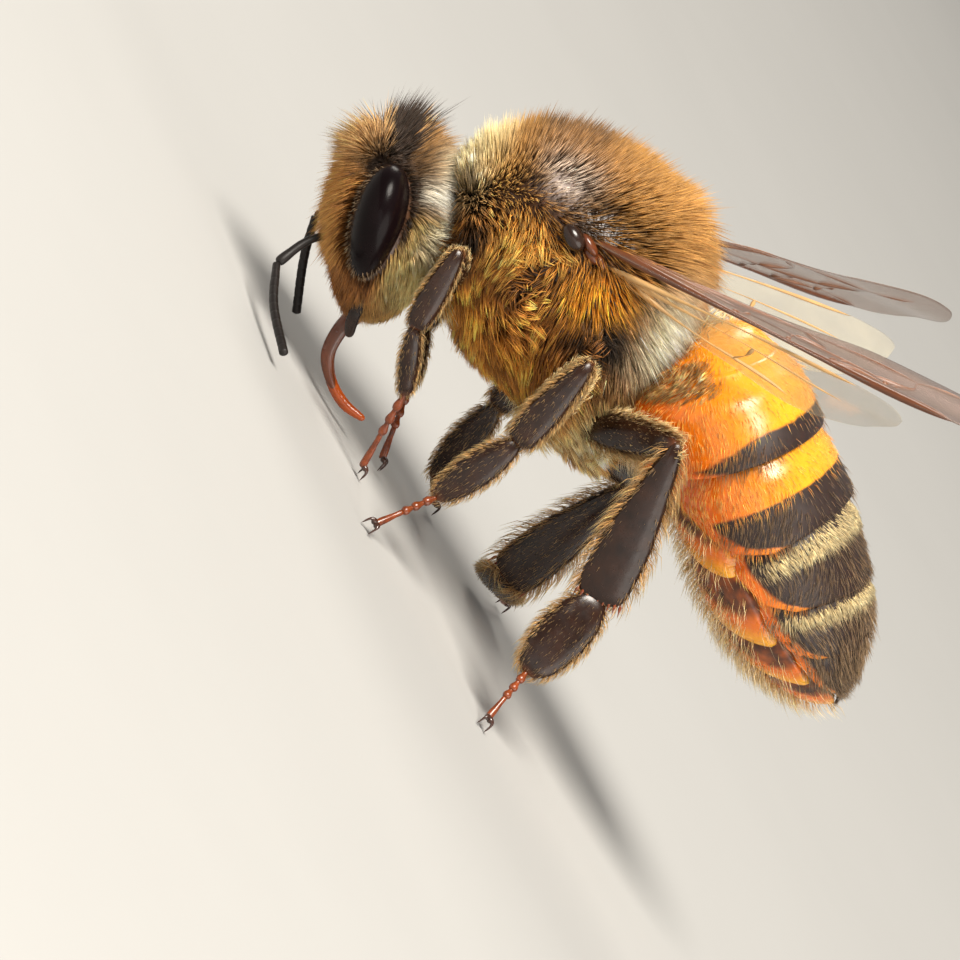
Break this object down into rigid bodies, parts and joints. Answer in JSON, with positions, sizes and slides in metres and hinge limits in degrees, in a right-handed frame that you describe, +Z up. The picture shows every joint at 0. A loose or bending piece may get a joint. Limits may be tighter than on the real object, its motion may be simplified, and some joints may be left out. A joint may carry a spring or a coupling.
{
  "type": "honey bee",
  "caption": "Life-size worker honey bee standing on its feet with its head low, its tongue out and its wings half open.",
  "frame": {"origin": "centre of the bounding box, on the ground under the feet", "axes": "+Z up; the bee faces -X, its left side faces -Y"},
  "size_m": [0.0142, 0.0146, 0.0115],
  "materials": {
    "coat_gold": "thick golden brown hair",
    "coat_tan": "fine tan hair over dark shell",
    "eye_black": "glossy, finely faceted",
    "shell_dark": "dark brown, half gloss",
    "shell_amber": "smooth amber with fine hair",
    "shell_banded": "dark brown with pale hair bands",
    "foot_red": "red brown, half clear",
    "tongue_red": "orange brown, smooth",
    "wing_clear": "thin clear skin with brown veins"
  },
  "bodies": {
    "root": {"head": "coat_tan", "eye_left": "eye_black", "eye_right": "eye_black", "mandible_left": "shell_dark", "mandible_right": "shell_dark", "tongue_base": "tongue_red", "tongue_tip": "tongue_red", "antenna_left_scape": "shell_dark", "antenna_left_flagellum": "shell_dark", "antenna_right_scape": "shell_dark", "antenna_right_flagellum": "shell_dark", "thorax": "coat_gold", "tegula_left": "shell_dark", "tegula_right": "shell_dark", "forewing_left": "wing_clear", "forewing_right": "wing_clear", "hindwing_left": "wing_clear", "hindwing_right": "wing_clear", "abdomen_1": "shell_amber", "abdomen_2": "shell_amber", "abdomen_3": "shell_amber", "abdomen_4": "shell_banded", "abdomen_5": "shell_banded", "abdomen_6": "shell_banded", "leg_front_left_femur": "shell_dark", "leg_front_left_tibia": "shell_dark", "leg_front_left_basitarsus": "shell_dark", "leg_front_left_tarsus": "foot_red", "leg_front_right_femur": "shell_dark", "leg_front_right_tibia": "shell_dark", "leg_front_right_basitarsus": "shell_dark", "leg_front_right_tarsus": "foot_red", "leg_middle_left_femur": "shell_dark", "leg_middle_left_tibia": "shell_dark", "leg_middle_left_basitarsus": "shell_dark", "leg_middle_left_tarsus": "foot_red", "leg_middle_right_femur": "shell_dark", "leg_middle_right_tibia": "shell_dark", "leg_middle_right_basitarsus": "shell_dark", "leg_middle_right_tarsus": "foot_red", "leg_hind_left_femur": "shell_dark", "leg_hind_left_tibia": "shell_dark", "leg_hind_left_basitarsus": "shell_dark", "leg_hind_left_tarsus": "foot_red", "leg_hind_right_femur": "shell_dark", "leg_hind_right_tibia": "shell_dark", "leg_hind_right_basitarsus": "shell_dark", "leg_hind_right_tarsus": "foot_red"}
  },
  "joints": []
}
